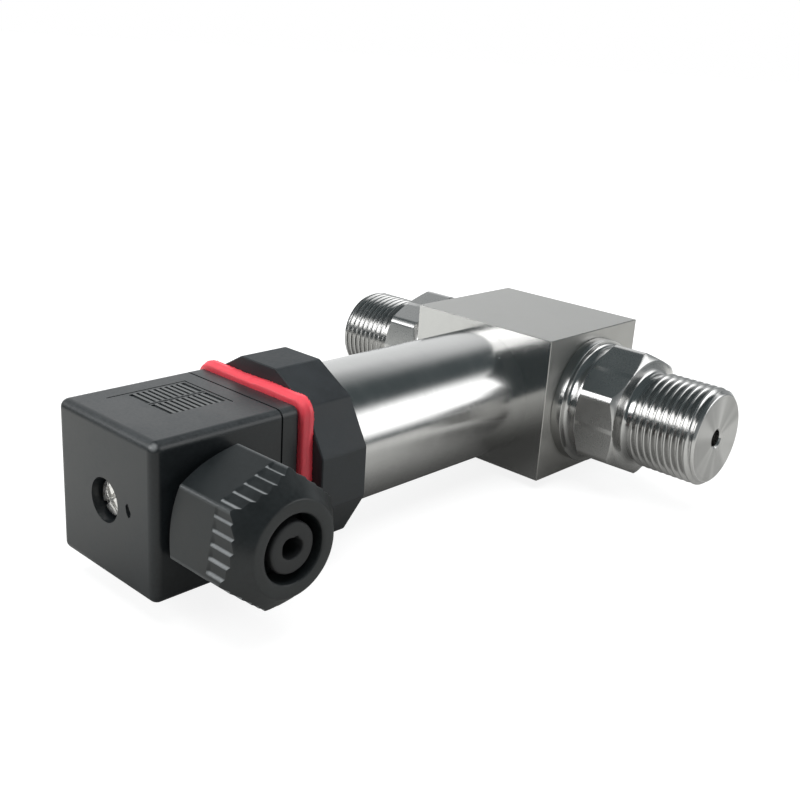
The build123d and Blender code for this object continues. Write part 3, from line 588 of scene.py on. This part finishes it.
# ---------------------------------------------------------------------------
# tube, set into the block's front face
# ---------------------------------------------------------------------------
profile = [(-66.6, 12.3), (-66.6, 13.38), (-66.57, 13.44), (-66.5, 13.48), (-66.4, 13.5)]
profile += [(-66.4 + (66.4 - 16.8) * k / 30, 13.5) for k in range(1, 30)]
profile += [(-16.35, 13.5), (-16.02, 13.5), (-16.0, 13.48), (-16.0, 12.5), (-12.3, 12.5), (-12.3, 11.3), (-17.5, 11.3), (-18.2, 12.0), (-66.3, 12.0)]


sf = lathe(profile, on_body, 288)
tube = finish_mesh("body_tube_turned", sf.verts, sf.faces, mats["tube_steel"])
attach(tube, "transmitter")
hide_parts("body_tube")


# ---------------------------------------------------------------------------
# process fittings: turned, milled to a hexagon, M20 x 1.5 thread
# ---------------------------------------------------------------------------
PITCH = 1.5
THREAD = [(-0.065, 9.992), (0.0, 10.0), (0.065, 9.992), (0.12, 9.955), (0.19, 9.85), (0.33, 9.60), (0.47, 9.36),
          (0.575, 9.20), (0.65, 9.12), (0.75, 9.09), (0.85, 9.12), (0.925, 9.20), (1.03, 9.36), (1.17, 9.60),
          (1.31, 9.85), (1.38, 9.955)]


def fitting(name, side, turn, mat):
    n = 240
    start = math.radians(turn)                   # one column stands on each hexagon corner

    def place(x, r, i):
        a = start + 2 * math.pi * i / n
        return (side * x * MM, (PORT_Y + r * math.cos(a)) * MM, (AXIS_Z + r * math.sin(a)) * MM)

    sf = Surface()
    rows = []

    def plain(points):
        for x, r in points:
            rows.append(sf.row([place(x, r, i) for i in range(n)]))

    land, af2, hb, hf = 13.5, 12.0, 22.9, 31.95
    tan30 = math.tan(math.radians(30))
    plain([(9.0, 1.75), (9.0, 10.2), (9.8, 11.0)])
    plain([(9.8 + 0.2 * k, 11.0 - (0.0 if k % 2 == 0 else 0.55)) for k in range(1, 32)])
    plain([(16.2, 11.0), (16.2, 10.1), (18.0, 10.1)])
    plain(rounded([(18.0, 10.1), (18.0, 13.5), (20.4, 13.5), (20.4, 12.75)], [0, 0.25, 0.16, 0], 5, closed=False))
    plain([(20.47, 12.45), (20.62, 12.2), (20.86, 12.02), (21.2, 11.93), (21.65, 11.90), (22.1, 11.92), (22.5, 11.96),
           (22.8, 11.99)])
    # hexagon: bevel cone, six flats with turned lands on the corners, bevel cone
    hexr = []
    for i in range(n):
        a = (2 * math.pi * i / n) % (math.pi / 3)
        hexr.append(min(land, af2 / math.cos(a - math.pi / 6)))
    soft = 0.07
    plain([(hb, 11.95)])
    for off, drop in ((-soft, 0.0), (soft * 0.8, 0.0)):
        rows.append(sf.row([place(hb + max(0.0, (hexr[i] - 11.95 + (0 if off > 0 else -soft * 1.4)) * tan30) + (soft if off > 0 else 0.0),
                                  max(11.95, hexr[i] - (0.0 if off > 0 else soft * 1.4)), i) for i in range(n)]))
    rows.append(sf.row([place((hb + hf) / 2, hexr[i], i) for i in range(n)]))
    for off in (1, 0):
        rows.append(sf.row([place(hf - max(0.0, (hexr[i] - 11.95 - (0 if off else soft * 1.4)) * tan30) - (soft if off else 0.0),
                                  max(11.95, hexr[i] - (0.0 if off else soft * 1.4)), i) for i in range(n)]))
    plain([(hf, 11.95)])
    plain([(32.02, 11.7), (32.10, 11.35), (32.18, 10.95), (32.26, 10.6), (32.33, 10.28), (32.36, 10.18), (32.39, 10.08),
           (32.45, 9.88), (32.55, 9.66), (32.71, 9.46), (32.94, 9.33), (33.25, 9.25), (33.6, 9.22), (34.0, 9.23),
           (34.15, 9.2), (34.25, 9.09)])
    # thread, wound at one pitch a turn between two cones
    xa, xb, root_r = 34.26, 48.30, 9.09
    count = int((xb - xa) / PITCH) + 3
    keys = [(PITCH * t + dx, r) for t in range(count) for dx, r in THREAD]
    k0 = len(THREAD)
    grid = []
    for off, r in keys:
        line = []
        for i in range(n):
            x = 34.21 - PITCH + off + PITCH * i / n
            x = min(max(x, xa), xb)
            env = min(root_r + (x - xa) * 1.2, 10.0, 10.0 - (x - 47.40), root_r + (xb - x) * 12.0)
            line.append(place(x, min(r, env), i))
        grid.append(sf.row(line))
    for j in range(len(grid) - 1):
        a, b = grid[j], grid[j + 1]
        for i in range(n - 1):
            sf.faces.append((a[i], a[i + 1], b[i + 1], b[i]))
        if j + 1 + k0 < len(grid):
            c, d = grid[j + k0], grid[j + k0 + 1]
            sf.faces.append((a[n - 1], c[0], d[0], b[n - 1]))
    first = len(rows)
    rows.append(grid[0])
    for a, b in zip(rows[:first], rows[1:first + 1]):
        sf.join(a, b)
    last = sf.row([place(xb, root_r, i) for i in range(n)])
    end_rows = [last]
    for x, r in rounded([(xb, root_r), (48.335, 9.04), (48.362, 8.98), (48.385, 8.90), (48.397, 8.81), (48.4, 8.7),
                         (48.4, 2.12), (48.03, 1.75), (9.0, 1.75)],
                        [0, 0, 0, 0, 0, 0, 0.06, 0.05, 0], 4, closed=False)[1:]:
        end_rows.append(sf.row([place(x, r, i) for i in range(n)]))
    for a, b in zip(end_rows, end_rows[1:]):
        sf.join(a, b)
    o = finish_mesh(name, sf.verts, sf.faces, mat, 28.0, 2e-7)
    return o


high = fitting("high_port_fitting_threaded", 1, 36.1, mats["stainless_turned"])
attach(high, "transmitter")
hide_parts("high_port_fitting")
low = fitting("low_port_fitting_threaded", -1, 21.8, mats["stainless_turned"])
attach(low, "transmitter")
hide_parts("low_port_fitting")


# ---------------------------------------------------------------------------
# red gasket: a soft square ring, squeezed a little unevenly, with moulding flash
# ---------------------------------------------------------------------------
def square_path(half, corner, count):
    """Points and outward directions along a rounded square, starting mid-side."""
    straight, quarter = 2 * (half - corner), math.pi / 2 * corner
    total = 4 * (straight + quarter)
    pts = []
    for k in range(count):
        d = (total * k / count + straight / 2) % total
        side = int(d // (straight + quarter))
        d -= side * (straight + quarter)
        if d < straight:
            p, nrm = (half, -straight / 2 + d), (1.0, 0.0)
        else:
            a = (d - straight) / corner
            p = (half - corner + corner * math.cos(a), half - corner + corner * math.sin(a))
            nrm = (math.cos(a), math.sin(a))
        for _ in range(side):
            p, nrm = (-p[1], p[0]), (-nrm[1], nrm[0])
        pts.append((p, nrm))
    return pts


def gasket():
    count = 420
    outer, inner = square_path(14.62, 3.0, count), square_path(10.36, 1.3, count)
    sf = Surface()
    sections = []
    for k in range(count):
        (ox, oz), (nx, nz) = outer[k]
        (ix, iz), _ = inner[k]
        w = Vector((ox, 0, oz))
        wave = noise.noise(w * 0.16 + Vector((3, 1, 7))) * 0.20 + noise.noise(w * 0.6) * 0.07 - 0.05
        sway = noise.noise(w * 0.22 + Vector((5, 2, 1))) * 0.16
        flash = max(0.0, noise.noise(w * 2.4 + Vector((0, 5, 0)))) * 0.30 + max(0.0, noise.noise(w * 6.0)) * 0.12
        front, rear = -78.82, -76.86
        lip = -77.75 + sway
        section = [
            (-0.5, rear, 1), (-0.10 + wave, rear - 0.02, 1), (-0.03 + wave, rear - 0.10, 1), (0.0 + wave, rear - 0.35, 1),
            (0.01 + wave, lip + 0.10, 1), (-0.02 + wave, lip, 1), (-0.10 + wave, lip - 0.10, 1), (-0.22 + wave, lip - 0.34, 1),
            (-0.34 + wave, front + 0.42, 1), (-0.46 + wave, front + 0.16, 1), (-0.66 + wave, front + 0.03, 1), (-1.1, front, 1),
        ]
        line = []
        for off, y, _ in section:
            o_off = min(off, 0.11)
            line.append(((ox + nx * o_off) * MM, (PORT_Y + y) * MM, (AXIS_Z + oz + nz * o_off) * MM))
        # thin ragged flash along the collar side
        f_off = min(-0.06 + wave + flash, 0.12)
        line.insert(1, ((ox + nx * f_off) * MM, (PORT_Y + rear - 0.012) * MM, (AXIS_Z + oz + nz * f_off) * MM))
        line.append((ix * MM, (PORT_Y + front + 0.02) * MM, (AXIS_Z + iz) * MM))
        line.append((ix * MM, (PORT_Y + rear - 0.02) * MM, (AXIS_Z + iz) * MM))
        sections.append(sf.row(line))
    m_ = len(sections[0])
    for k in range(count):
        a, b = sections[k], sections[(k + 1) % count]
        for j in range(m_):
            jj = (j + 1) % m_
            sf.faces.append((a[j], b[j], b[jj], a[jj]))
    return finish_mesh("flat_gasket_soft", sf.verts, sf.faces, mats["red_silicone"], 38.0)


seal = gasket()
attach(seal, "transmitter")
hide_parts("flat_gasket")


# ---------------------------------------------------------------------------
# plug housing: the CAD shape with a small moulding nick pressed into its end face
# ---------------------------------------------------------------------------
def nicked_housing():
    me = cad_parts["plug_housing"].data.copy()
    me.name = "plug_housing_nicked"
    bm = bmesh.new()
    bm.from_mesh(me)
    y0 = min(v.co.y for v in bm.verts)
    flat = [f for f in bm.faces if all(abs(v.co.y - y0) < 1e-6 for v in f.verts)]
    held = set(flat)
    slot = flat[0].material_index
    border = [e for e in {e for f in flat for e in f.edges} if sum(g in held for g in e.link_faces) == 1]
    bmesh.ops.delete(bm, geom=flat, context="FACES_KEEP_BOUNDARY")
    count = 26
    rings = []
    for scale, depth in ((1.0, 0.0), (0.90, 0.30), (0.62, 0.55), (0.25, 0.62)):
        ring = []
        for k in range(count):
            a = 2 * math.pi * k / count
            wob = 1.0 + 0.34 * noise.noise(Vector((math.cos(a) * 1.3, math.sin(a) * 1.3, 4.0 + depth * 0.6)))
            u, v = 0.58 * math.cos(a) * wob * scale, 1.12 * math.sin(a) * wob * scale
            ring.append(bm.verts.new(((6.55 + u - 0.30 * v) * MM, y0 + depth * MM, (17.5 + v) * MM)))
        rings.append(ring)
    loop = [bm.edges.new((rings[0][k], rings[0][(k + 1) % count])) for k in range(count)]
    made = bmesh.ops.triangle_fill(bm, use_beauty=True, use_dissolve=False, edges=border + loop, normal=(0, -1, 0))
    fresh = [g for g in made["geom"] if isinstance(g, bmesh.types.BMFace)]
    for f in fresh:
        f.normal_update()
        if f.normal.y > 0:
            f.normal_flip()
    walls = []
    for a, b in zip(rings, rings[1:]):
        for k in range(count):
            j = (k + 1) % count
            walls.append(bm.faces.new((a[k], b[k], b[j], a[j])))
    walls.append(bm.faces.new(rings[-1][::-1]))
    for f in walls:
        f.normal_update()
    if walls[-1].normal.y > 0:
        for f in walls:
            f.normal_flip()
    for f in fresh + walls:
        f.material_index = slot
        f.smooth = False
    bm.to_mesh(me)
    bm.free()
    o = bpy.data.objects.new("plug_housing_nicked", me)
    scene.collection.objects.link(o)
    return o


housing = nicked_housing()
for k, slot in enumerate(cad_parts["plug_housing"].material_slots):
    housing.data.materials[k] = slot.material
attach(housing, "plug")
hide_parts("plug_housing")


# ---------------------------------------------------------------------------
# gland nut: six rounded corners, sawtooth grip grooves that run out over the domed end
# ---------------------------------------------------------------------------
def on_gland(x, r, a):
    return (x * MM, (GLAND_Y + r * math.cos(a)) * MM, (AXIS_Z + r * math.sin(a)) * MM)


NUT_FLAT = 11.4 * math.cos(math.radians(30))
NUT_CONE = [(27.4, 11.4), (27.85, 11.0), (28.5, 10.36), (29.2, 9.70), (29.9, 9.04), (30.55, 8.45), (30.95, 8.12),
            (31.25, 7.88)]


def cone_x(r):
    """Station at which the domed end has radius r."""
    for (x0, r0), (x1, r1) in zip(NUT_CONE, NUT_CONE[1:]):
        if r >= r1:
            return x0 + (x1 - x0) * (r0 - min(r, r0)) / (r0 - r1)
    return NUT_CONE[-1][0]


def gland_nut():
    per = 200
    n = per * 6
    soft = 0.62                                     # corner rounding
    centre = (NUT_FLAT - soft) / math.cos(math.radians(30))
    limit = math.atan2(soft * 0.5, centre + soft * math.cos(math.radians(30)))
    angles, hexr, across_t = [], [], []
    for side in range(6):
        for k in range(per):
            d = math.radians(-30 + 60 * k / per)    # from the middle of the flat
            to_corner = math.radians(30) - abs(d)
            r = NUT_FLAT / math.cos(d)
            if to_corner < limit:
                r = centre * math.cos(to_corner) + math.sqrt(soft * soft - (centre * math.sin(to_corner)) ** 2)
            angles.append(math.radians(21.0 + 30 + 60 * side) + d)
            hexr.append(r)
            across_t.append(NUT_FLAT * math.tan(d))

    def notch(t, x):
        """Depth of the nearest grip groove at t across the flat."""
        k = max(-2, min(2, math.floor((t - 0.02 + 1.62) / 2.15)))
        q = t - 0.02 - 2.15 * k
        if q < 0:
            d = 0.30 * (1 + q / 1.62)
        else:
            d = 0.30 * (1 - q / 0.46)
        if d <= 0:
            return 0.0
        run = (x - 24.35 + 0.10 * q) / 0.60
        fade = max(0.0, min(1.0, run))
        return min(d, 0.275) * fade * fade * (3 - 2 * fade)

    sf = Surface()
    rows = [sf.row([on_gland(x, r, a) for a in angles]) for x, r in ((26.0, 6.4), (26.0, 7.75), (14.6, 7.75))]
    rows.append(sf.row([on_gland(14.6, 9.45, a) for a in angles]))
    rows.append(sf.row([on_gland(14.64, 9.57, a) for a in angles]))
    back = [14.66 + max(0.0, (h - 9.6)) * 0.667 for h in hexr]
    rows.append(sf.row([on_gland(b - 0.05, h - 0.09, a) for b, h, a in zip(back, hexr, angles)]))
    rows.append(sf.row([on_gland(b + 0.07, h, a) for b, h, a in zip(back, hexr, angles)]))
    rows.append(sf.row([on_gland(b + 0.6, h, a) for b, h, a in zip(back, hexr, angles)]))
    rows.append(sf.row([on_gland(20.0, h, a) for h, a in zip(hexr, angles)]))
    x0 = 24.0
    steps = 26
    ends = [cone_x(h - notch(t, 29.4)) for h, t in zip(hexr, across_t)]
    for j in range(steps + 1):
        line = []
        for h, t, a, e in zip(hexr, across_t, angles, ends):
            w = j / steps
            x = x0 + (e - 0.05 - x0) * w
            line.append(on_gland(x, h - notch(t, x), a))
        rows.append(sf.row(line))
    rows.append(sf.row([on_gland(e + 0.03, min(h - notch(t, e), 11.4) - 0.045, a)
                        for h, t, a, e in zip(hexr, across_t, angles, ends)]))
    cone_rows = 12
    for j in range(1, cone_rows + 1):
        w = j / cone_rows
        line = []
        for h, t, a, e in zip(hexr, across_t, angles, ends):
            x = (e + 0.03) * (1 - w) + 31.25 * w
            r = None
            for (xa_, ra_), (xb_, rb_) in zip(NUT_CONE, NUT_CONE[1:]):
                if x <= xb_ + 1e-9:
                    r = ra_ + (rb_ - ra_) * (x - xa_) / (xb_ - xa_)
                    break
            r = NUT_CONE[-1][1] if r is None else r
            line.append(on_gland(x, min(r, h - notch(t, e)), a))
        rows.append(sf.row(line))
    for x, r in ((31.38, 7.76), (31.46, 7.62), (31.49, 7.45), (31.495, 7.1), (31.49, 6.3), (31.48, 5.95), (31.42, 5.72),
                 (31.28, 5.55), (31.1, 5.48), (30.8, 5.46), (27.2, 5.46)):
        rows.append(sf.row([on_gland(x, r, a) for a in angles]))
    for a, b in zip(rows, rows[1:] + rows[:1]):
        sf.join(a, b)
    o = finish_mesh("gland_nut_gripped", sf.verts, sf.faces, mats["black_nut_plastic"], 24.0)
    # painted highlight: the crests between the grooves and the corners between the flats are made paler
    wear_and_highlight = []
    for v in o.data.vertices:
        x, y, z = v.co.x / MM, v.co.y / MM - GLAND_Y, v.co.z / MM - AXIS_Z
        d = (math.degrees(math.atan2(z, y)) - 21.0) % 60.0 - 30.0
        t = NUT_FLAT * math.tan(math.radians(d))
        q = t - 0.02 - 2.15 * max(-2, min(2, math.floor((t - 0.02 + 1.62) / 2.15)))
        level = 0.0
        r = math.hypot(y, z)
        if r > 9.25 and x < cone_x(r) - 0.03:
            if x > 24.45:
                level = min(1.0, max(0.0, 1.35 * (1.0 - abs(q - 0.24) / 0.34)))
            level = max(level, 0.42 * max(0.0, 1.0 - (30.0 - abs(d)) / 2.4) * (1.0 if x < 28.4 else 0.0))
        wear_and_highlight.append(level)
    o.data.attributes.new("wear_and_highlight", "FLOAT", "POINT").data.foreach_set("value", wear_and_highlight)
    return o


nut = gland_nut()
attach(nut, "gland_nut")
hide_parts("gland_nut")


# ---------------------------------------------------------------------------
# rubber grommet: soft-edged face with an uneven lobed hole and a little flash
# ---------------------------------------------------------------------------
def grommet():
    n = 192
    sf = Surface()

    def hole(i, deep):
        a = 2 * math.pi * i / n
        r = 1.78 + 0.16 * math.cos(2 * a + 0.6) + 0.10 * math.sin(3 * a + 1.1)
        r += 0.34 * math.exp(-((math.degrees(a) - 62 + 540) % 360 - 180) ** 2 / 260.0)
        r += 0.16 * math.exp(-((math.degrees(a) - 205 + 540) % 360 - 180) ** 2 / 500.0)
        return r - 0.12 * deep

    def rim(i):
        w = Vector((math.cos(2 * math.pi * i / n), math.sin(2 * math.pi * i / n), 0))
        return noise.noise(w * 2.2 + Vector((4, 0, 2))) * 0.05

    rows = []
    outer = [(16.2, 5.1), (16.9, 5.55), (24.6, 5.55), (25.4, 4.4), (26.4, 4.15), (30.45, 4.14), (30.7, 4.10), (30.87, 4.0),
             (30.98, 3.82), (31.02, 3.58), (31.025, 3.2)]
    for x, r in outer:
        rows.append(sf.row([on_gland(x, r + (rim(i) if x > 30.4 else 0.0), 2 * math.pi * i / n) for i in range(n)]))
    for x, off in ((31.01, 0.35), (30.98, 0.16), (30.9, 0.05), (30.75, 0.0), (28.0, 0.0)):
        rows.append(sf.row([on_gland(x, hole(i, 0) + off, 2 * math.pi * i / n) for i in range(n)]))
    rows.append(sf.row([on_gland(25.0, 1.75, 2 * math.pi * i / n) for i in range(n)]))
    rows.append(sf.row([on_gland(16.2, 1.9, 2 * math.pi * i / n) for i in range(n)]))
    for a, b in zip(rows, rows[1:] + rows[:1]):
        sf.join(a, b)
    return finish_mesh("gland_grommet_soft", sf.verts, sf.faces, mats["black_rubber"], 45.0)


rubber = grommet()
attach(rubber, "plug")
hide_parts("gland_grommet")
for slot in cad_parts["gland_washer"].material_slots:
    slot.material = mats["black_nut_plastic"]


# ---------------------------------------------------------------------------
# centre screw: domed head, crossed driver recess with a slot cut across it
# ---------------------------------------------------------------------------
def centre_screw():
    n = 240
    turn = math.radians(38)
    ca, sa = math.cos(turn), math.sin(turn)

    def cut(p, q):
        u, v = p * ca + q * sa, -p * sa + q * ca
        depth = 0.0
        for along, over, wide, length, deep in ((u, v, 0.42, 1.9, 0.95), (v, u, 0.42, 1.9, 0.95), (u, v, 0.40, 9.0, 0.50)):
            d = min((wide - abs(over)) / 0.20, (length - abs(along)) / 0.35, 1.0)
            if d > 0:
                depth = max(depth, deep * d * (2 - d) if deep < 1 else deep * d)
        return depth

    sf = Surface()
    rings = [0.06 + 2.84 * k / 46 for k in range(47)] + [2.98, 3.06, 3.12, 3.16]
    rows = []
    for r in rings:
        line = []
        for i in range(n):
            a = 2 * math.pi * i / n
            p, q = r * math.cos(a), r * math.sin(a)
            top = -105.78 + 0.035 * r * r + (0.0 if r < 2.9 else 1.9 * (r - 2.9) ** 1.35)
            y = min(top + cut(p, q), -103.4)
            line.append((p * MM, (PORT_Y + y) * MM, (AXIS_Z + q) * MM))
        rows.append(sf.row(line))
    for y, r in ((-104.9, 3.185), (-102.75, 3.185), (-102.62, 3.12), (-102.6, 1.5), (-76.0, 1.5), (-75.5, 1.0), (-75.5, 0.06)):
        rows.append(sf.row([(r * math.cos(2 * math.pi * i / n) * MM, (PORT_Y + y) * MM,
                             (AXIS_Z + r * math.sin(2 * math.pi * i / n)) * MM) for i in range(n)]))
    for a, b in zip(rows, rows[1:]):
        sf.join(a, b)
    sf.faces.append(tuple(rows[0]))
    sf.faces.append(tuple(rows[-1]))
    return finish_mesh("centre_screw_crossed", sf.verts, sf.faces, mats["nickel_screw"], 40.0)


screw = centre_screw()
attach(screw, "centre_screw")
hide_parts("centre_screw")

# ---------------------------------------------------------------------------
bpy.context.view_layer.update()
